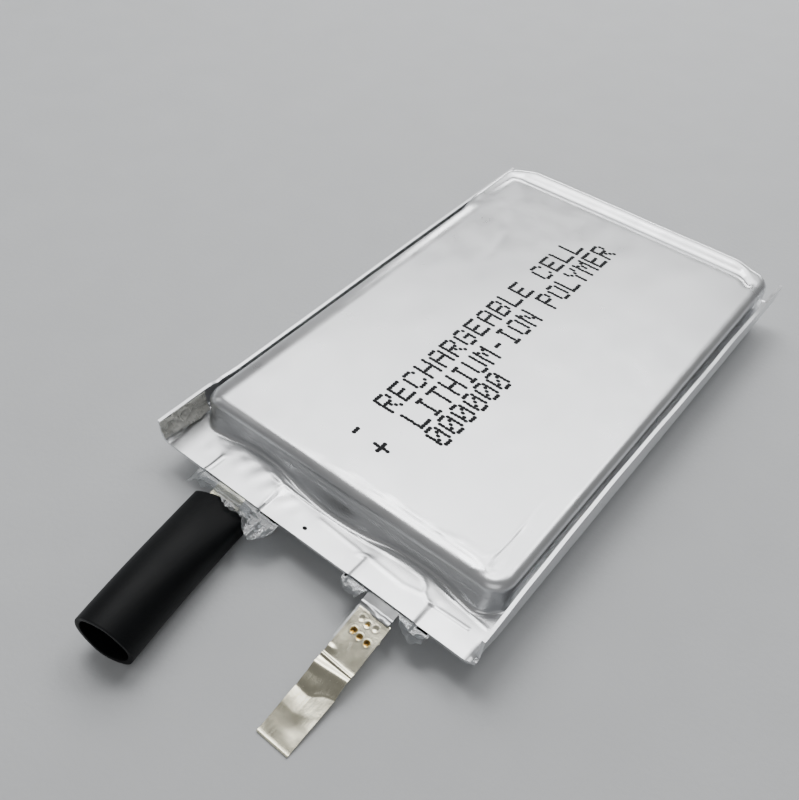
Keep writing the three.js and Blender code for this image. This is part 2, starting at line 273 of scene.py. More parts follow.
def draw_sheet(name, depth, flange_side, cells, ledge_rows):
    """One half of the pouch, outer surface only, with its bond face at height 0 and its cup up.
    The side seals go up where flange_side is 1, and down, round the other half, where it is -1."""
    columns = grid_lines(core_x, cells[0], 0.3, flange_lines, flange_lines)
    rows = grid_lines(core_y, cells[1], 0.5, ledge_rows, 0)
    bpy.ops.object.select_all(action="DESELECT")
    bpy.ops.mesh.primitive_grid_add(
        x_subdivisions=len(columns[0]) - 1, y_subdivisions=len(rows[0]) - 1, size=mm
    )
    sheet = new_piece(name)
    blank = places_of(sheet)
    column = np.rint((blank[:, 0] + 0.5) * (len(columns[0]) - 1)).astype(int)
    row = np.rint((blank[:, 1] + 0.5) * (len(rows[0]) - 1)).astype(int)
    core, ring, extra = (
        np.stack([across[column], along[row]], 1) for across, along in zip(columns, rows)
    )

    # Each ring of the blank is a square round the core. It is drawn into a rounded outline.
    step = np.abs(ring).max(1)
    share = ring / np.maximum(step, 1)[:, None]
    turn = np.abs(share).min(1) * math.pi / 4
    mostly_x = np.abs(share[:, 0]) >= np.abs(share[:, 1])
    direction = np.stack([np.where(mostly_x, np.cos(turn), np.sin(turn)),
                          np.where(mostly_x, np.sin(turn), np.cos(turn))], 1) * np.sign(ring)
    zones, start = [], 0
    for count in (face_rings, edge_rings, wall_rings, foot_rings, rim_rings):
        zones.append(np.clip((step - start) / count, 0, 1))
        start += count
    face, edge, wall, foot, rim = zones

    # Outline and height of each ring. The far end has no ledge: its wall ends in the fold's bead.
    far = smooth(direction[:, 1], 0.3, 0.95)
    front = smooth(-direction[:, 1], 0.2, 0.9)
    foot_radius = (side_foot + (front_foot - side_foot) * front) * (1 - far)
    floor = laminate * (1 - far)
    bead = (foot + rim) / 2
    wall_end = floor + foot_radius + fold_bead_height * far
    reach = (
        (corner_radius - face_radius) * face
        + face_radius * np.sin(edge * math.pi / 2)
        + wall_draft * wall
        + foot_radius * (1 - np.cos(foot * math.pi / 2))
        + fold_bead * far * np.sin(bead * math.pi / 2)
    )
    height = (
        depth
        - face_radius * (1 - np.cos(edge * math.pi / 2))
        - (depth - face_radius - wall_end) * wall
        - foot_radius * np.sin(foot * math.pi / 2)
        - fold_bead_height * far * bead
    )

    # The last rings square up to the flat seal's outline, and the ledge runs on in front.
    far_rim = corner_radius + wall_draft + fold_bead
    rim_y = np.where(ring[:, 1] < 0, front_rim, far_rim)
    y = core[:, 1] + direction[:, 1] * reach * (1 - rim) + share[:, 1] * rim_y * rim
    ledge = -extra[:, 1].clip(None, 0) / ledge_rows
    y = y + (ledge_y - y) * ledge
    bend = ledge_bend(y)
    rim_x = flange_x - bend - core_x
    x = core[:, 0] + direction[:, 0] * reach * (1 - rim) + share[:, 0] * rim_x * rim

    # The side seals: a bend, then straight to the cut edge, a little past the folded end.
    side = np.sign(extra[:, 0])
    line = np.abs(extra[:, 0])
    radius = bend + (0 if flange_side > 0 else 2 * laminate)
    swing = np.clip(line / bend_lines, 0, 1) * math.pi / 2
    rise = np.clip((line - bend_lines) / (flange_lines - bend_lines), 0, 1)
    folded = side != 0
    x = np.where(folded, side * (flange_x - bend + radius * np.sin(swing)), x)
    height = np.where(folded, floor + flange_side * radius * (1 - np.cos(swing)), height)
    height += rise * (flange_side * flange_height - height)
    overrun = flange_end_y - (core_y + far_rim)
    y += overrun * smooth(ring[:, 1], 0, rings) * np.clip(line / bend_lines, 0, 1)

    # The seal bar presses the ledge down round the tabs' films, which keep it lifted over them.
    soft = 0.08 + 1.1 * smooth(y, -26.4, -25.3)
    over_film = smooth(film_half + 0.1 - np.abs(np.abs(x) - film_x), -soft, soft)
    height += film_lift * over_film * foot * (1 - far) * smooth(-y, 23.5, 24.6)
    drawn = {"folded": folded, "step": step, "direction": direction}
    return sheet, np.stack([x, y, height], 1), drawn


far_splay, front_splay, seal_wave = 0.34, 0.10, 0.07
lean_on_cup = 0.27
nick_y, nick_depth, nick_width = -21.6, 0.16, 0.35
ledge_droop = 0.05


def bend_seals(points):
    """Gives both halves the same small bends of the folded side seals and of the ledge. The right
    seal leans out towards both ends, and the left one leans on the cup and has a nick."""
    x, y, z = points.T
    up_seal = np.clip((z - seal_z - 0.2) / (flange_height - 0.2), 0, 1)
    up_seal *= smooth(np.abs(x), 16.2, 16.4)
    splay = far_splay * smooth(y, 12, 24.4) + seal_wave * np.sin(y / 5.5)
    splay += front_splay * smooth(-y, 20, 28)
    against_cup = lean_on_cup * smooth(y, -23, -19) - 0.03 * np.sin(y / 7 + 1)
    x = x + np.where(x > 0, splay, against_cup) * up_seal
    nick = nick_depth * np.exp(-((y - nick_y) / nick_width) ** 2)
    z = z - np.where(x < 0, nick, 0.03 * np.sin(y * 0.9)) * up_seal
    crushed = smooth(-y, 27.25, 27.7) * (x > 0)
    z = z - crushed_depth * crushed * up_seal
    droop = ledge_droop * np.sin(x / 3.1) * smooth(-y, 25.5, 28.1)
    z = z + droop * (np.abs(x) < 16.3)
    return np.stack([x, y, z], 1)


def thicken(piece, thickness, offset):
    """Gives the active surface a wall: inwards at offset -1, both ways at 0, outwards at 1."""
    wall = piece.modifiers.new("wall", "SOLIDIFY")
    wall.thickness = thickness * mm
    wall.offset = offset
    bpy.ops.object.modifier_apply(modifier=wall.name)


def finish_sheet(piece):
    """Gives a drawn surface the laminate's thickness, and smooths its shading."""
    bpy.ops.object.select_all(action="DESELECT")
    piece.select_set(True)
    bpy.context.view_layer.objects.active = piece
    thicken(piece, laminate, -1)
    bpy.ops.object.shade_smooth_by_angle(angle=math.radians(50))


# Front sheet: the printed face.
pouch_front, sheet, drawn = draw_sheet("pouch_front", top_z - seal_z, 1, (200, 70), 28)
points = bend_seals(sheet + (0, 0, seal_z))
x, y, z = points.T
on_top = smooth(z, top_z - 1.5, top_z - 0.3) * ~drawn["folded"]
to_front = smooth(-drawn["direction"][:, 1], 0.5, 0.95)

# The winding holds the face up. Outside its end and its right edge the sheet sags into the gap,
# with a sharp wrinkle round the winding's corner and a second one outside it.
wrinkle_height, wrinkle_width = 0.040, 0.11
outer_wrinkle_height, outer_wrinkle_width = 0.035, 0.12
sag_depth, sag_width = 0.11, 0.30
held_right = 13.55 + 0.1 * np.sin(y * 1.3)
held_front = -22.55 + 0.25 * np.sin(x / 3.4) + 0.09 * np.sin(x * 1.7)
past = np.hypot(np.clip(x - held_right, 0, None), np.clip(held_front - y, 0, None))
sag_here = np.maximum(smooth(x, -7, 2) * smooth(-y, 20, 22), smooth(-y, 12, 19) * smooth(x, 12, 13))
edge_line = [(-2.25, -22.9), (1.75, -22.7), (5.1, -22.45), (8.6, -22.5), (11.4, -21.9),
             (13.0, -21.9), (13.55, -21.3), (13.65, -19.4), (13.5, -17.4)]
loop_line = [(12.9, -23.3), (14.4, -22.6), (14.6, -21.6), (14.0, -19.3)]
fades = smooth(x, -6, 0) * smooth(-y, 16.5, 18.5)
wrinkles = wrinkle_height * np.exp(-(distance_to(x, y, edge_line) / wrinkle_width) ** 2) * fades
outer_wrinkle = np.exp(-(distance_to(x, y, loop_line) / outer_wrinkle_width) ** 2)
wrinkles += outer_wrinkle_height * outer_wrinkle * fades
sag = sag_depth * (1 - np.exp(-past / sag_width)) * sag_here - wrinkles
dimple = 0.05 * np.exp(-(((x - 13.9) / 0.75) ** 2 + ((y + 22.7) / 0.7) ** 2))
# Along the far end the sheet stands up in a round roll with a groove inside it, and it is
# puckered at the right corner.
groove_depth, groove_width = 0.24, 0.55
pucker_depth, pucker_width = 0.22, 0.38
roll_height, roll_reach = 0.28, 0.30
groove_line = [(-14.9, 16.5), (-14.75, 21.7), (-13.6, 22.15), (12.9, 22.15)]
groove = groove_depth * np.exp(-(distance_to(x, y, groove_line) / groove_width) ** 2)
groove *= np.clip((y - 16) / 5, 0, 1)
pucker_line = [(13.6, 21.9), (14.5, 21.2)]
pucker = pucker_depth * np.exp(-(distance_to(x, y, pucker_line) / pucker_width) ** 2)
roll = smooth(y, 22.1, 23.0) * smooth(14.6 - np.abs(x + 0.3), 0, 2.5) * ~drawn["folded"]
# The left edge of the face falls away in a wider curve than the right one.
fallen_depth = 0.75
fallen = fallen_depth * smooth(-x, 13.4, 16.2) ** 1.3 * smooth(16.5 - y, 0, 3)
# The rest of the face is a little domed, with faint soft waves and one long crease.
dome_height = 0.05
broad_wave, fine_wave = 0.022, 0.007
crease_height, crease_width = 0.03, 0.5
waves = broad_wave * ripple(x, y, 7, 3) + fine_wave * ripple(x, y, 2.2, 4)
crease_line = [(-12, 16), (-9, 12.5), (-8, 8)]
crease = crease_height * np.exp(-(distance_to(x, y, crease_line) / crease_width) ** 2)
dome = dome_height * (np.cos(np.clip(x / 15, -1, 1) * math.pi / 2) - 1)
hollows = sag + dimple + groove + pucker + crease + fallen
z = z + on_top * (waves + dome + roll_height * roll - hollows)
y = y + roll_reach * roll * smooth(z, seal_z + 0.6, top_z - 0.5)

# The front wall has a faint rib where the two radii of the die met, and its foot wanders.
rib_height, rib_width, rib_level = 0.085, 0.13, seal_z + 1.95
rib = rib_height * np.exp(-((z - rib_level) / rib_width) ** 2) * smooth(x, -15, -9)
low_wall = smooth(seal_z + 1.9 - z, 0, 1.6) * (z > seal_z)
foot_push = 0.2 - 0.4 * np.cos(2 * math.pi * (x + 8.3) / 17)
ahead = np.exp(-(np.clip(-24.4 - y, 0, None) / 0.8) ** 2)
in_front = np.maximum(to_front, smooth(-y, 24.0, 24.5))
between_corners = smooth(15.6 - np.abs(x), 0, 2)
y = y - in_front * ~drawn["folded"] * (rib + low_wall * foot_push * ahead) * between_corners

# Heat-seal marks on the ledge: bead lines along the foot, the bar's end, and the films' edges.
# Each has its line, its width, and its height, which is below 0 for a groove.
on_ledge = ~drawn["folded"] * (drawn["step"] == rings) * smooth(-y, 24.3, 24.9)
squeezed_out = [(-6.4, -25.02), (-1.6, -25.1), (4.0, -24.95), (7.9, -24.6), (9.4, -24.7),
                (10.1, -25.2), (10.3, -25.65), (10.9, -26.1), (14.7, -25.98)]
second_bead = [(10.5, -24.5), (13.3, -24.8), (15.8, -25.1)]
bar_edge = [(-0.4, -25.75), (4.8, -26.0), (8.6, -26.2), (10.2, -25.9)]
for line, width, lift in [
    (squeezed_out, 0.11, 0.050),
    (second_bead, 0.10, 0.040),
    (bar_edge, 0.18, 0.030),
    ([(-11.38, -27.75), (-11.34, -26.3)], 0.07, -0.05),
    ([(-10.98, -27.85), (-10.96, -26.35)], 0.07, -0.05),
    ([(-5.0, -28.1), (-5.1, -25.2)], 0.08, 0.05),
    ([(5.06, -28.1), (5.06, -26.2)], 0.07, -0.06),
    ([(11.34, -28.1), (11.31, -26.2)], 0.09, -0.08),
    ([(4.1, -26.25), (4.9, -25.95)], 0.16, 0.04),
    ([(-6.6, -24.75), (-5.6, -24.9)], 0.2, 0.07),
]:
    z = z + lift * np.exp(-(distance_to(x, y, line) / width) ** 2) * on_ledge
creased_wave, ledge_wave = 0.035, 0.012
creased = smooth(-x, 1, 4) * smooth(x, -14.5, -12) * smooth(-y, 24.6, 25.1) * smooth(y, -27.4, -26)
z = z + creased_wave * ripple(x, y, 1.1, 8) * creased * on_ledge
z = z + ledge_wave * ripple(x, y, 2.5, 9) * on_ledge
move_to(pouch_front, np.stack([x, y, z], 1))
finish_sheet(pouch_front)

# Back sheet: the same drawing, turned over, with a few shallow dents from handling.
pouch_back, sheet, drawn = draw_sheet("pouch_back", seal_z, -1, (80, 60), 16)
points = bend_seals(sheet * (-1, 1, -1) + (0, 0, seal_z))
x, y, z = points.T
on_back = smooth(1.4 - z, 0, 1.2) * ~drawn["folded"]
sunk_depth, wave_height = 0.10, 0.012
beside = np.clip(np.abs(x) - 13.6, 0, None)
before = np.clip(-22.3 - y, 0, None)
sunk = sunk_depth * smooth(np.hypot(beside, before), 0, 1.6)
dents = np.zeros_like(x)
for dent_x, dent_y, dent_depth, spread in ((6, 9, 0.05, 6), (-8, -5, 0.04, 9)):
    dents += dent_depth * np.exp(-((x - dent_x) ** 2 + (y - dent_y) ** 2) / spread)
z = z + on_back * (sunk + dents + wave_height * (1 + ripple(x, y, 6, 12)))
z = z + wave_height * ripple(x, y, 2.5, 13) * ~drawn["folded"] * (drawn["step"] == rings)
move_to(pouch_back, np.stack([x, y, z], 1))
finish_sheet(pouch_back)

# Satin nylon over aluminium foil: silver white, softly mottled, with a faint rolled grain along
# the web and a thin glossy skin that draws a sharp bright line on every ridge.
laminate_finish = {
    "Metallic": 0.92,
    "Coat Weight": 0.35,
    "Coat Roughness": 0.12,
}
foil, tree, shader, places = start_material("satin_aluminium_laminate", laminate_finish)
patches = add_node(tree, "TexNoise", {"Scale": 1 / (9 * mm), "Detail": 3.0}, {"Vector": places})
tone = add_node(tree, "Mix", {"data_type": "RGBA", 6: colour("#D3D5D8"), 7: colour("#E3E4E5")},
                {0: patches.outputs["Fac"]})
cloud = add_node(tree, "TexNoise", {"Scale": 1 / (2.5 * mm), "Detail": 4.0}, {"Vector": places})
rough = add_node(tree, "MapRange", {"From Min": 0.3, "From Max": 0.7, "To Min": 0.27, "To Max": 0.36},
                 {"Value": cloud.outputs["Fac"]})
# Real rolling lines are some 0.05 mm apart; they are drawn at 0.2 mm so that they show.
rolled = add_node(tree, "Mapping", {"Scale": (1, 0.08, 1)}, {"Vector": places})
lines = add_node(tree, "TexNoise", {"Scale": 1 / (0.2 * mm), "Detail": 2.0},
                 {"Vector": rolled.outputs[0]})
lined = add_node(tree, "Bump", {"Distance": 0.0012 * mm}, {"Height": lines.outputs["Fac"]})
pebble = add_node(tree, "TexNoise", {"Scale": 1 / (1.2 * mm), "Detail": 2.0}, {"Vector": places})
surface = add_node(tree, "Bump", {"Distance": 0.004 * mm},
                   {"Height": pebble.outputs["Fac"], "Normal": lined.outputs[0]})
feed(tree, shader, tone, rough, surface)
for piece, node in ((pouch_front, "pouch_front_sheet"), (pouch_back, "pouch_back_sheet")):
    piece.data.materials.append(foil)
    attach(piece, "pouch")
    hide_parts(node)


# ---------------------------------------------------------------- print on the face
# Polarity marks and three lines of plain wording, put on by an ink-jet coder as small wet dots
# that run together along each stroke. Each dot is a thin drop of black ink on the nylon, and one
# stray drop has landed on the ledge.
dot_font = {
    "A": ".###. #...# #...# ##### #...# #...# #...#",
    "B": "####. #...# #...# ####. #...# #...# ####.",
    "C": ".###. #...# #.... #.... #.... #...# .###.",
    "E": "##### #.... #.... ####. #.... #.... #####",
    "G": ".###. #...# #.... #.### #...# #...# .###.",
    "H": "#...# #...# #...# ##### #...# #...# #...#",
    "I": ".###. ..#.. ..#.. ..#.. ..#.. ..#.. .###.",
    "L": "#.... #.... #.... #.... #.... #.... #####",
    "M": "#...# ##.## #.#.# #.#.# #...# #...# #...#",
    "N": "#...# ##..# #.#.# #.#.# #..## #...# #...#",
    "O": ".###. #...# #...# #...# #...# #...# .###.",
    "P": "####. #...# #...# ####. #.... #.... #....",
    "R": "####. #...# #...# ####. #.#.. #..#. #...#",
    "T": "##### ..#.. ..#.. ..#.. ..#.. ..#.. ..#..",
    "U": "#...# #...# #...# #...# #...# #...# .###.",
    "Y": "#...# #...# .#.#. ..#.. ..#.. ..#.. ..#..",
    "0": ".###. #...# #..## #.#.# ##..# #...# .###.",
    "-": "..... ..... ..... .###. ..... ..... .....",
    "+": "..... ..#.. ..#.. ##### ..#.. ..#.. .....",
    " ": "..... ..... ..... ..... ..... ..... .....",
}
# Wording, place of its first foot line (x, y), width of a letter's cell, height of a letter.
print_lines = [
    ("RECHARGEABLE CELL", -1.55, -15.3, 1.82, 2.0),
    ("LITHIUM-ION POLYMER", 1.45, -15.1, 1.69, 2.1),
    ("000000", 4.15, -15.5, 1.70, 2.1),
    ("-", -1.55, -19.3, 1.50, 2.0),
    ("+", 1.30, -19.4, 1.50, 2.0),
]
dot_width, dot_length = 0.36, 0.46
print_slant = math.radians(0.5)
dots_per_cell = 6.2
dot_rows = 7
dot_stray = 0.015
above_face = top_z + 1
speck_place = (-0.76, -27.1)
ink_height, ink_gap = 0.006, 0.003

bpy.ops.object.select_all(action="DESELECT")
bpy.ops.mesh.primitive_circle_add(vertices=10, radius=0.5 * mm, fill_type="NGON")
drop = new_piece("drop")
bpy.ops.transform.resize(value=(dot_length, dot_width, 1))
bpy.ops.object.transform_apply(location=False, rotation=False, scale=True)
random = np.random.default_rng(21)
dots = []
for wording, foot_x, start_y, cell, letter_height in print_lines:
    for number, letter in enumerate(wording):
        for down, dot_row in enumerate(dot_font[letter].split()):
            for across, mark in enumerate(dot_row):
                if mark == ".":
                    continue
                dot = drop.copy()
                dot.data = drop.data.copy()
                bpy.context.collection.objects.link(dot)
                along = (number + across / dots_per_cell) * cell
                above = (1 - down / (dot_rows - 1)) * letter_height
                dot.location = Vector((
                    foot_x - above + along * math.sin(print_slant) + random.normal(0, dot_stray),
                    start_y + along + above * math.sin(print_slant) + random.normal(0, dot_stray),
                    above_face,
                )) * mm
                dots.append(dot)
bpy.ops.object.select_all(action="DESELECT")
for dot in dots:
    dot.select_set(True)
drop.select_set(True)
bpy.context.view_layer.objects.active = drop
drop.location = Vector((*speck_place, above_face)) * mm
bpy.ops.object.join()
printing = new_piece("face_print")
bpy.ops.object.transform_apply(location=True, rotation=True, scale=True)
wet = printing.modifiers.new("lay_on_face", "SHRINKWRAP")
wet.target = pouch_front
wet.wrap_method = "PROJECT"
wet.use_project_z = True
wet.use_negative_direction = True
wet.use_positive_direction = False
wet.offset = ink_gap * mm
bpy.ops.object.modifier_apply(modifier=wet.name)
thicken(printing, ink_height, 1)

# Solvent ink, dried: blue-black, semi-matt, thinner and greyer in the middle of each drop.
ink, tree, shader, places = start_material(
    "dried_black_coding_ink", {"Roughness": 0.7, "Specular IOR Level": 0.2}
)
density = add_node(tree, "TexNoise", {"Scale": 1 / (0.5 * mm), "Detail": 2.0}, {"Vector": places})
tone = add_node(tree, "Mix", {"data_type": "RGBA", 6: colour("#060709"), 7: colour("#101116")},
                {0: density.outputs["Fac"]})
surface = add_node(tree, "Bump", {"Distance": 0.004 * mm}, {"Height": density.outputs["Fac"]})
feed(tree, shader, tone, None, surface)
printing.data.materials.append(ink)
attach(printing, "pouch")


# ---------------------------------------------------------------- clear films on the tabs
# Two strips of polypropylene are sealed to the faces of each tab and bond it into the ledge. They
# stand out of the seal as torn, crumpled edges, and bend with the tab.
def lay_strip(name, along_cells, across_cells, shape, thickness):
    """A thin strip. shape(s, u) gives its points for s 0 to 1 along it and u -1 to 1 across it."""
    bpy.ops.object.select_all(action="DESELECT")
    bpy.ops.mesh.primitive_grid_add(
        x_subdivisions=across_cells, y_subdivisions=along_cells, size=mm
    )
    strip = new_piece(name)
    blank = places_of(strip)
    points = np.stack(shape(0.5 - blank[:, 1], 2 * blank[:, 0]), 1)
    move_to(strip, points)
    thicken(strip, thickness, 0)
    bpy.ops.object.shade_smooth_by_angle(angle=math.radians(40))
    return strip


def crumple(x, y, size, seed):
    """Random flat facets between sharp creases, from 0 to 1, about that many millimetres wide."""
    return 1 - np.abs(np.clip(ripple(x, y, size, seed) * 1.6, -1, 1))


film_thickness = 0.05
bend_y = -28.75
film_inner_y = -23.6
free_edge_start = ledge_y + 0.15
# The part of a film's length that lies in the seal, and how far outside it is free to crumple.
sealed_share = 0.3
free_from, free_to = 0.25, 1.4


def film(name, outline, level, fall, fold, seed, crush=None):
    """One film: its torn outline as (x, y) points, its height in the seal, how far its free edge
    rises or falls at each of them, how high its folds stand, and how crumpled it is at each."""
    outline_x, outline_y = np.array(outline).T
    crush = crush or [1] * len(outline)

    def shape(s, u):
        low_x, high_x = outline_x[0], outline_x[-1]
        x = low_x + (high_x - low_x) * (u + 1) / 2
        torn = np.interp(x, outline_x, outline_y) + 0.07 * ripple(x, x, 0.35, seed)
        inside = film_inner_y + (free_edge_start - film_inner_y) * s / sealed_share
        outside = free_edge_start + (torn - free_edge_start) * (s - sealed_share) / (1 - sealed_share)
        y = np.where(s < sealed_share, inside, outside)
        free = smooth(ledge_y - y, free_from, free_to)
        folds = crumple(x, y, 1.1, seed) + 0.3 * crumple(x, y, 0.5, seed + 1)
        lifted = smooth(film_half + 0.05 - np.abs(np.abs(x) - film_x), -0.1, 0.05)
        held = seal_z + (level - seal_z) * np.maximum(lifted, free)
        crushed = np.interp(x, outline_x, crush)
        z = held + free * (np.interp(x, outline_x, fall) + fold * crushed * (folds - 0.8))
        squeeze = 0.12 * crushed * free * ripple(x, y, 0.6, seed + 2)
        return x + squeeze, y, z

    return lay_strip(name, 40, 90, shape, film_thickness)


over_level, under_level = 2.79, 2.61
films = [
    film("negative_tab_film_over",
         [(-11.9, -29.75), (-11.5, -29.5), (-10.6, -29.0), (-9.6, -29.05), (-8.2, -29.5),
          (-6.6, -30.0), (-5.9, -29.9), (-5.2, -29.6), (-4.4, -30.5), (-3.5, -30.7),
          (-2.9, -30.0), (-2.6, -29.0)],
         over_level, (-0.3, -0.1, 0.2, 0.55, 0.9, 0.95, 0.8, 0.5, 0.2, 0.0, -0.1, -0.2), 0.30, 31,
         (0.5, 0.4, 0.15, 0.05, 0.05, 0.15, 0.9, 1, 0.5, 0.4, 0.5, 0.5)),
    film("negative_tab_film_under",
         [(-11.5, -29.0), (-10.6, -29.35), (-9.3, -28.8), (-6.1, -28.9), (-5.2, -29.3),
          (-4.2, -29.7), (-3.1, -29.5), (-2.7, -28.7)],
         under_level, (-0.6, -0.5, -0.1, -0.1, -0.1, -0.3, -0.5, -0.5), 0.25, 41),
    film("positive_tab_film_over",
         [(4.4, -28.5), (5.0, -28.9), (5.9, -28.95), (6.6, -28.5), (7.1, -28.12), (9.8, -28.12),
          (10.3, -28.6), (11.4, -28.95), (12.5, -28.8), (12.8, -28.4)],
         over_level, (-0.1, -0.15, -0.05, 0, 0, 0, -0.1, -0.2, -0.25, -0.2), 0.2, 51),
    film("positive_tab_film_under",
         [(4.5, -28.7), (5.2, -29.15), (6.3, -29.1), (6.8, -28.2), (10.0, -28.2), (10.5, -28.9),
          (11.9, -29.3), (12.6, -28.9)],
         under_level, (-0.35, -0.45, -0.2, -0.05, -0.05, -0.2, -0.5, -0.5), 0.22, 61),
]

# Clear cast polypropylene: glossy where it is smooth, hazy where it was stretched and creased.
clear_film, tree, shader, places = start_material(
    "clear_polypropylene_film",
    {"Transmission Weight": 0.92, "IOR": 1.49, "Base Color": colour("#EEF1F3")},
)
haze = add_node(tree, "TexNoise", {"Scale": 1 / (0.8 * mm), "Detail": 4.0}, {"Vector": places})
rough = add_node(tree, "MapRange", {"From Min": 0.35, "From Max": 0.65, "To Min": 0.04, "To Max": 0.16},
                 {"Value": haze.outputs["Fac"]})
fine = add_node(tree, "TexNoise", {"Scale": 1 / (0.25 * mm), "Detail": 3.0}, {"Vector": places})
surface = add_node(tree, "Bump", {"Distance": 0.003 * mm}, {"Height": fine.outputs["Fac"]})
feed(tree, shader, None, rough, surface)
for piece in films:
    side, layer = piece.name.split("_")[0], piece.name.split("_")[-1]
    piece.data.materials.append(clear_film)
    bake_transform(piece)
    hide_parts(side + "_tab_film_" + {"over": "upper", "under": "lower"}[layer])


# ---------------------------------------------------------------- positive tab and its lead
# A soft aluminium tab comes out of the ledge, is folded over itself, and runs under a nickel lead
# that is spot-welded to it in two rows of three. The lead can be soldered to.
tab_thickness = 0.1
tab_half = 1.5
tab_centre = 8.4
inner_end = [(7.6, 3.024), (-22.55, 3.024), (-23.35, 2.70), (-27.8, 2.70)]
inner_share = 0.15


def along_path(s, corners, softness=0.02):
    """Height and y at part s of the length of a path of (y, z) corners, with eased corners."""
    corners = np.array(corners, float)
    length = np.concatenate([[0], np.cumsum(np.hypot(*np.diff(corners, axis=0).T))])
    length /= length[-1]
    y, z = np.zeros_like(s), np.zeros_like(s)
    for shift in (-1.0, -0.5, 0, 0.5, 1.0):
        place = np.clip(s + shift * softness, 0, 1)
        y += np.interp(place, length, corners[:, 0]) / 5
        z += np.interp(place, length, corners[:, 1]) / 5
    return y, z


def tab_shape(s, u):
    """The strip from the winding through the seal, over the fold and down under the lead."""
    inside = s < inner_share
    inner_y, inner_z = along_path(np.clip(s / inner_share, 0, 1), inner_end, 0.004)
    s = np.clip((s - inner_share) / (1 - inner_share), 0, 1)
    flat = [(-27.8, 2.70), (-28.05, 2.69), (-28.90, 2.43), (-28.98, 2.48), (-29.04, 2.45),
            (-29.04, 2.38), (-29.2, 2.30), (-29.5, 2.235), (-30.4, 2.04), (-32.25, 1.65)]
    lobe = [(-27.8, 2.70), (-28.05, 2.69), (-28.95, 2.46), (-29.22, 2.62), (-29.52, 2.60),
            (-29.50, 2.51), (-29.25, 2.45), (-29.28, 2.30), (-30.4, 2.04), (-32.25, 1.65)]
    y0, z0 = along_path(s, flat)
    y1, z1 = along_path(s, lobe)
    thick = smooth(u, -0.75, 0.35) * (0.86 + 0.2 * ripple(u, u, 0.3, 5))
    y, z = y0 + (y1 - y0) * thick, z0 + (z1 - z0) * thick
    crushed = smooth(-y, 28.9, 29.2) * smooth(y, -30.4, -29.6)
    z = z + 0.012 * ripple(u * 1.5, s * 4, 0.35, 7) * crushed
    return tab_centre + tab_half * u, np.where(inside, inner_y, y), np.where(inside, inner_z, z)


positive_tab = lay_strip("positive_tab_strip", 180, 30, tab_shape, tab_thickness)

lead_centre, lead_start, lead_end = 8.6, -29.34, -40.46
lowest_lead = 0.055
# The lead's long profile in (y, z): a stiff first part, a bump, a steep facet and a flat tip.
lead_path = [(-29.34, 2.40), (-33.45, 1.42), (-34.0, 1.36), (-34.22, 1.42), (-34.48, 1.37),
             (-34.72, 1.25), (-35.9, 0.68), (-37.7, 0.50), (-40.2, 0.10), (-40.46, 0.09)]
# Each spot weld: its place (x, y), how deep the electrode sank, and how hot it ran, both 0 to 1.
welds = [(7.85, -30.0, 0.5, 0.25), (8.52, -30.15, 0.9, 0.55), (9.22, -30.05, 0.7, 0.15),
         (7.92, -31.05, 1.0, 1.0), (8.62, -31.2, 0.9, 0.85), (9.38, -31.25, 1.0, 0.9)]
ridge_height, ridge_width = 0.075, 0.11
handling_dent, lead_wave, tip_curl, side_burr = 0.06, 0.014, 0.05, 0.09
pit_depth, pit_radius = 0.038, 0.18
rim_height, rim_radius, rim_width = 0.012, 0.27, 0.08


def lead_shape(s, u):
    """The lead, with its creases slanting and scalloped across it."""
    along = lead_start + (lead_end - lead_start) * s
    x = lead_centre + tab_half * u
    # The bump leans back a little on the right, and the second crease is a scalloped slant.
    first = smooth(-along, 33.8, 34.1) * smooth(along, -35.2, -34.7)
    second = smooth(-along, 34.7, 36.2) * smooth(along, -39.2, -36.9)
    scallop = np.interp(u, (-1, -0.2, 0, 0.35, 0.65, 1), (0.45, 0.50, 0.40, -0.03, -0.34, -0.67))
    shifted = along - first * 0.15 * u + second * scallop
    path = np.array(lead_path)[::-1]
    z = np.zeros_like(along)
    for step in (-0.12, -0.06, 0, 0.06, 0.12):
        z += np.interp(shifted + step, path[:, 0], path[:, 1]) / 5
    # A thin sharp ridge runs ahead of the bump, further from it at the left.
    ridge = -33.66 - 0.10 * (u + 1) / 2
    z += ridge_height * np.exp(-((along - ridge) / ridge_width) ** 2) * (1 - 0.3 * u)
    for weld_x, weld_y, depth, _ in welds:
        away = np.hypot(x - weld_x, along - weld_y)
        z += depth * rim_height * np.exp(-((away - rim_radius) / rim_width) ** 2)
        z -= depth * pit_depth * np.exp(-(away / pit_radius) ** 2)
    dent = np.exp(-((along + 33.0) / 0.22) ** 2 - ((u + 0.85) / 0.3) ** 2)
    z += handling_dent * dent + lead_wave * ripple(x, along, 1.4, 17)
    z += 0.02 * (u ** 2 - 0.5) * smooth(-along, 36, 37)
    z += tip_curl * np.exp(-((along - lead_end) / 0.06) ** 2)
    burr = np.exp(-((along + 30.75) / 0.1) ** 2) * smooth(u, 0.93, 1.0)
    return x + side_burr * burr, along, np.maximum(z, lowest_lead)


positive_lead = lay_strip("nickel_lead", 240, 60, lead_shape, tab_thickness)

# How far the welds have burnt each place, 0 to 1, kept on the lead's own mesh for its material.
burn_radius = 0.30
x, y, z = places_of(positive_lead).T
heat = np.zeros(len(x))
for weld_x, weld_y, _, hottest in welds:
    away = np.hypot(x - weld_x, y - weld_y)
    heat = np.maximum(heat, hottest * np.exp(-(away / burn_radius) ** 2))
burn = positive_lead.data.attributes.new("burn", "FLOAT", "POINT")
burn.data.foreach_set("value", heat.astype(np.float32))

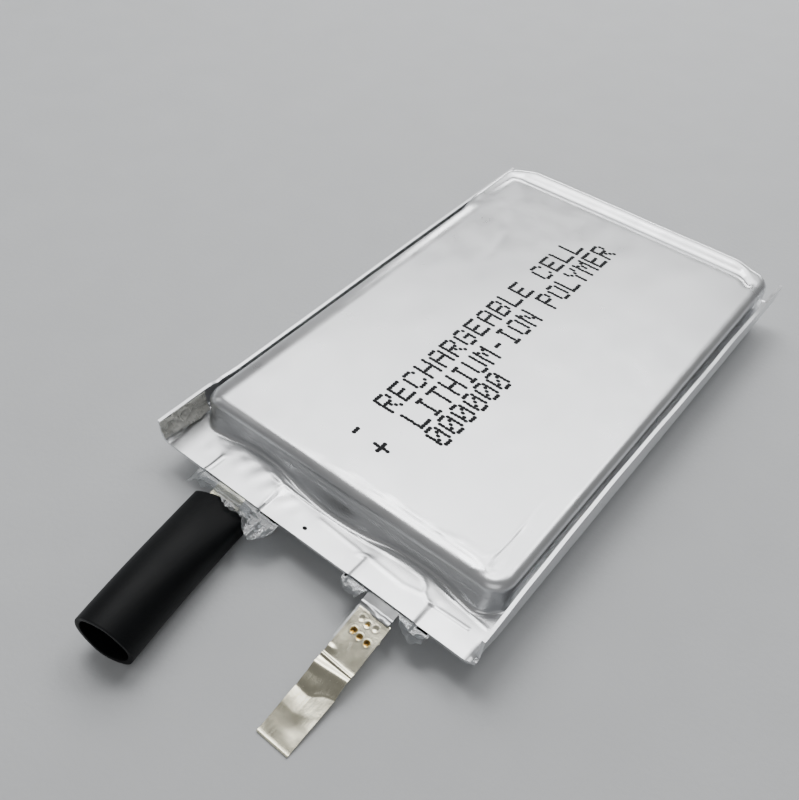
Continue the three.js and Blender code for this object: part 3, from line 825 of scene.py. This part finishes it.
# Rolled aluminium strip: light grey, soft, with a fine rolling grain and small handling dents.
aluminium, tree, shader, places = start_material("soft_rolled_aluminium", {"Metallic": 1.0})
rolled = add_node(tree, "Mapping", {"Scale": (1, 0.06, 1)}, {"Vector": places})
lines = add_node(tree, "TexNoise", {"Scale": 1 / (0.12 * mm), "Detail": 3.0},
                 {"Vector": rolled.outputs[0]})
cloud = add_node(tree, "TexNoise", {"Scale": 1 / (0.9 * mm), "Detail": 3.0}, {"Vector": places})
tone = add_node(tree, "Mix", {"data_type": "RGBA", 6: colour("#A9ABAD"), 7: colour("#CDCECE")},
                {0: cloud.outputs["Fac"]})
rough = add_node(tree, "MapRange", {"To Min": 0.25, "To Max": 0.42}, {"Value": cloud.outputs["Fac"]})
grained = add_node(tree, "Bump", {"Distance": 0.003 * mm}, {"Height": lines.outputs["Fac"]})
dented = add_node(tree, "Bump", {"Distance": 0.015 * mm},
                  {"Height": cloud.outputs["Fac"], "Normal": grained.outputs[0]})
feed(tree, shader, tone, rough, dented)

# Cold-rolled nickel strip: warm champagne grey with scratches along it. The welds burnt it
# amber round their rims and near black in their pits.
nickel, tree, shader, places = start_material("cold_rolled_nickel", {"Metallic": 1.0})
drawn_out = add_node(tree, "Mapping", {"Scale": (1, 0.05, 1)}, {"Vector": places})
lines = add_node(tree, "TexNoise", {"Scale": 1 / (0.15 * mm), "Detail": 4.0},
                 {"Vector": drawn_out.outputs[0]})
cloud = add_node(tree, "TexNoise", {"Scale": 1 / (1.6 * mm), "Detail": 4.0}, {"Vector": places})
metal = add_node(tree, "Mix", {"data_type": "RGBA", 6: colour("#CFCAB2"), 7: colour("#ECE8D2")},
                 {0: cloud.outputs["Fac"]})
heat_map = add_node(tree, "Attribute", {"attribute_name": "burn"})
speckle = add_node(tree, "TexNoise", {"Scale": 1 / (0.12 * mm), "Detail": 3.0}, {"Vector": places})
ragged = add_node(tree, "Math", {"operation": "MULTIPLY_ADD", 1: 1.6, 2: -0.85},
                  {0: speckle.outputs["Fac"]})
burnt_here = add_node(tree, "Math", {"operation": "MULTIPLY_ADD"},
                      {0: ragged.outputs[0], 1: heat_map.outputs["Fac"], 2: heat_map.outputs["Fac"]})
scale_colour = add_node(tree, "ValToRGB", links={"Fac": burnt_here.outputs[0]})
stops = scale_colour.color_ramp.elements
stops[0].position, stops[0].color = 0.30, colour("#FFFFFF")
stops[1].position, stops[1].color = 1.0, colour("#5E4A2E")
for place, shade in ((0.36, "#F1E2B4"), (0.52, "#C8A45E"), (0.75, "#7E5F34")):
    stops.new(place).color = colour(shade)
tinted = add_node(tree, "Mix", {"data_type": "RGBA", "blend_type": "MULTIPLY", 0: 1.0},
                  {6: metal.outputs[2], 7: scale_colour.outputs[0]})
rough = add_node(tree, "MapRange", {"To Min": 0.18, "To Max": 0.32}, {"Value": lines.outputs["Fac"]})
scratched = add_node(tree, "Bump", {"Distance": 0.004 * mm}, {"Height": lines.outputs["Fac"]})
dented = add_node(tree, "Bump", {"Distance": 0.02 * mm},
                  {"Height": cloud.outputs["Fac"], "Normal": scratched.outputs[0]})
feed(tree, shader, tinted, rough, dented)

positive_tab.data.materials.append(aluminium)
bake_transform(positive_tab)
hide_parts("positive_tab", "positive_tab_root")
positive_lead.data.materials.append(nickel)
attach(positive_lead, "positive_terminal")
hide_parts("positive_lead")


# ---------------------------------------------------------------- negative tab and its sleeve
# A nickel tab comes out of the ledge and leans a little inwards. A black rubber sleeve is pushed
# over it: flattened where it grips the tab, round at its cut free end.
lean = math.radians(11)
negative_x = -8.0
# Distance past the bend at parts of the strip's rows, and the strip's height along it.
negative_rows = [(0, -36.35), (0.1, -6.2), (0.12, -5.4), (0.25, -1.0), (1, 8.85)]
negative_heights = [(-6.2, 3.024), (-5.4, 2.70), (-0.7, 2.70), (-0.2, 2.60), (0.35, 2.38),
                    (1.45, 2.10), (9, 2.06)]


def leaning(along, across):
    """Plan place of a point that far from the bend along the leaning tab, and across it."""
    return (negative_x + along * math.sin(lean) + across * math.cos(lean),
            bend_y - along * math.cos(lean) + across * math.sin(lean))


def negative_shape(s, u):
    """The nickel strip: from the winding through the seal, then down and along in the sleeve."""
    out = np.interp(s, *np.array(negative_rows).T)
    x, y = leaning(np.maximum(out, 0), tab_half * u)
    straight = smooth(0.35 - out, 0, 0.3)
    x = x + (negative_x + tab_half * u - x) * straight
    y = y + (bend_y - out - y) * straight
    z = np.interp(out, *np.array(negative_heights).T)
    return x, y, z + 0.012 * ripple(x, y, 1.1, 71)


negative_tab = lay_strip("negative_tab_strip", 160, 20, negative_shape, tab_thickness)
negative_tab.data.materials.append(nickel)
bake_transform(negative_tab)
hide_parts("negative_tab", "negative_tab_root")

sleeve_axis = np.array((math.sin(lean), -math.cos(lean)))
sleeve_side = np.array((math.cos(lean), math.sin(lean)))
sleeve_setback = 0.7
sleeve_mouth = (negative_x + sleeve_setback * math.tan(lean), bend_y - sleeve_setback)
sleeve_length, sleeve_wall = 14.2, 0.4
mouth_half, mouth_height, mouth_z = 2.95, 1.45, 1.8
round_radius = 2.575
mouth_cut = 0.45
lowest_sleeve = 0.005


def sleeve_shape(s, u):
    """The tube's outside, flattened at its mouth and round at its end, soft and a little wavy. Its
    mouth is cut back on the right, so that it clears the ledge when the tab is bent."""
    along = s * sleeve_length
    angle = math.pi * u
    rounding = 1 - (1 - along / sleeve_length) ** 2
    half = mouth_half + (round_radius - mouth_half) * rounding
    tall = mouth_height + (round_radius - mouth_height) * rounding
    centre_z = mouth_z + (round_radius - mouth_z) * rounding
    soft = 1 + 0.004 * np.sin(2 * angle + along / 2.9) + 0.003 * np.sin(3 * angle - along / 2.2)
    square = 1 - 0.09 * (1 - rounding) * np.cos(4 * angle)
    across = -half * np.sin(angle) * soft * square
    lift = -tall * np.cos(angle) * soft
    ragged = 0.04 * np.sin(2 * angle + 1) + 0.015 * np.sin(5 * angle)
    cut_back = mouth_cut * smooth(across, 0.2, 2.6) * smooth(0.15 - s, 0, 0.15)
    along = along + ragged * np.where(s > 0.5, smooth(s, 0.9, 1), -smooth(0.1 - s, 0, 0.1))
    along = along + cut_back
    x = sleeve_mouth[0] + along * sleeve_axis[0] + across * sleeve_side[0]
    y = sleeve_mouth[1] + along * sleeve_axis[1] + across * sleeve_side[1]
    return x, y, np.maximum(centre_z + lift, lowest_sleeve + 0.004 * np.cos(angle))


bpy.ops.object.select_all(action="DESELECT")
bpy.ops.mesh.primitive_grid_add(x_subdivisions=96, y_subdivisions=110, size=mm)
sleeve = new_piece("black_sleeve")
blank = places_of(sleeve)
move_to(sleeve, np.stack(sleeve_shape(0.5 - blank[:, 1], 2 * blank[:, 0]), 1))
bpy.ops.object.mode_set(mode="EDIT")
bpy.ops.mesh.select_all(action="SELECT")
bpy.ops.mesh.remove_doubles(threshold=0.0005 * mm)
bpy.ops.mesh.normals_make_consistent(inside=False)
bpy.ops.object.mode_set(mode="OBJECT")
thicken(sleeve, sleeve_wall, -1)
rim = sleeve.modifiers.new("cut_rim", "BEVEL")
rim.width = 0.04 * mm
rim.segments = 2
rim.limit_method = "ANGLE"
rim.angle_limit = math.radians(60)
bpy.ops.object.modifier_apply(modifier=rim.name)
bpy.ops.object.shade_smooth_by_angle(angle=math.radians(40))

# Heat-shrink polyolefin, extruded: near-black, silky, with faint die lines along it.
rubber, tree, shader, places = start_material(
    "black_polyolefin_sleeve", {"IOR": 1.49, "Specular IOR Level": 0.12}
)
drawn_out = add_node(tree, "Mapping", {"Rotation": (0, 0, -lean), "Scale": (1, 0.05, 1)},
                     {"Vector": places})
lines = add_node(tree, "TexNoise", {"Scale": 1 / (0.35 * mm), "Detail": 3.0},
                 {"Vector": drawn_out.outputs[0]})
dust = add_node(tree, "TexNoise", {"Scale": 1 / (2.5 * mm), "Detail": 5.0}, {"Vector": places})
tone = add_node(tree, "Mix", {"data_type": "RGBA", 6: colour("#08090A"), 7: colour("#101214")},
                {0: dust.outputs["Fac"]})
rough = add_node(tree, "MapRange", {"To Min": 0.42, "To Max": 0.58}, {"Value": dust.outputs["Fac"]})
fine = add_node(tree, "TexNoise", {"Scale": 1 / (0.12 * mm), "Detail": 2.0}, {"Vector": places})
lined = add_node(tree, "Bump", {"Distance": 0.012 * mm}, {"Height": lines.outputs["Fac"]})
grained = add_node(tree, "Bump", {"Distance": 0.004 * mm},
                   {"Height": fine.outputs["Fac"], "Normal": lined.outputs[0]})
feed(tree, shader, tone, rough, grained)
sleeve.data.materials.append(rubber)
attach(sleeve, "sleeve")
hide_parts("negative_tab_sleeve")


# ---------------------------------------------------------------- corner tape
# A scrap of clear adhesive tape holds the left side seal's front end. It is crumpled, stands a
# little off the foil in two blisters, and wraps round the front of the seal.
tape_thickness = 0.05
tape_x, tape_top = -16.45, 5.18
tape_middle_y, tape_half_length = -25.75, 2.5
most_lift = 0.75


def corner_shape(s, u):
    """The tape on the seal's inner face: u runs from its back end to its front, s down it."""
    y = tape_middle_y - tape_half_length * u
    bottom = 3.25 + 0.35 * u + 0.12 * np.sin(5 * u)
    z = tape_top + (bottom - tape_top) * s
    lift = 0.05 + 0.15 * crumple(y, z, 1.2, 81) + 0.05 * crumple(y, z, 0.6, 82)
    for blister_y, blister_z in ((-27.25, 4.45), (-25.75, 4.35)):
        away = np.hypot((y - blister_y) / 0.55, (z - blister_z) / 0.5)
        lift += 0.14 * np.exp(-((away - 1) / 0.28) ** 2) - 0.06 * np.exp(-(away / 0.6) ** 2)
    lift += 0.35 * smooth(s, 0.55, 1.0)
    return tape_x + np.minimum(lift, most_lift), y, z


corner_tape = lay_strip("corner_tape_scrap", 44, 90, corner_shape, tape_thickness)

# Clear tape with grey adhesive dust: glossy on its creases, cloudy between them.
dusty_tape, tree, shader, places = start_material(
    "clear_adhesive_tape",
    {"Transmission Weight": 0.35, "IOR": 1.47},
)
cloud = add_node(tree, "TexNoise", {"Scale": 1 / (0.9 * mm), "Detail": 4.0}, {"Vector": places})
tone = add_node(tree, "Mix", {"data_type": "RGBA", 6: colour("#B4B4AE"), 7: colour("#F2F2EC")},
                {0: cloud.outputs["Fac"]})
rough = add_node(tree, "MapRange", {"To Min": 0.12, "To Max": 0.45}, {"Value": cloud.outputs["Fac"]})
fine = add_node(tree, "TexNoise", {"Scale": 1 / (0.3 * mm), "Detail": 4.0}, {"Vector": places})
surface = add_node(tree, "Bump", {"Distance": 0.008 * mm}, {"Height": fine.outputs["Fac"]})
feed(tree, shader, tone, rough, surface)
corner_tape.data.materials.append(dusty_tape)
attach(corner_tape, "pouch")
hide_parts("corner_tape")


# ---------------------------------------------------------------- winding and tapes inside
# Inside the cups lies the flat winding: coated foils with a separator between them, closed with
# tape, and the tapes over the tabs' inner ends. They keep their CAD shapes.
# Name, dark and light tone, patch size, roughness range, bump size and depth, and the CAD nodes.
inner_finishes = [
    ("cobalt_oxide_coating", "#222326", "#303236", 0.6, 0.62, 0.80, 0.05, 0.004,
     ("cathode_sheet",)),
    ("graphite_coating", "#2B2C2E", "#3D3E41", 0.5, 0.50, 0.72, 0.04, 0.003,
     ("anode_sheet",)),
    ("microporous_separator", "#DDDFDE", "#F0F1F0", 1.5, 0.38, 0.55, 0.30, 0.003,
     ("inner_separator", "outer_separator")),
    ("green_polyester_tape", "#3E8F5A", "#4FA56B", 2.0, 0.25, 0.42, 0.40, 0.004,
     ("closing_tape",)),
    ("amber_polyimide_tape", "#B9772A", "#CF9040", 1.5, 0.22, 0.38, 0.35, 0.004,
     ("positive_tab_tape_upper", "positive_tab_tape_lower",
      "negative_tab_tape_upper", "negative_tab_tape_lower")),
]
for name, dark, light, patch, least, most, bump_size, bump_depth, node_names in inner_finishes:
    material, tree, shader, places = start_material(name, {})
    cloud = add_node(tree, "TexNoise", {"Scale": 1 / (patch * mm), "Detail": 4.0}, {"Vector": places})
    tone = add_node(tree, "Mix", {"data_type": "RGBA", 6: colour(dark), 7: colour(light)},
                    {0: cloud.outputs["Fac"]})
    rough = add_node(tree, "MapRange", {"To Min": least, "To Max": most},
                     {"Value": cloud.outputs["Fac"]})
    fine = add_node(tree, "TexNoise", {"Scale": 1 / (bump_size * mm), "Detail": 3.0},
                    {"Vector": places})
    surface = add_node(tree, "Bump", {"Distance": bump_depth * mm}, {"Height": fine.outputs["Fac"]})
    feed(tree, shader, tone, rough, surface)
    for node_name in node_names:
        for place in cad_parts[node_name].material_slots:
            place.material = material
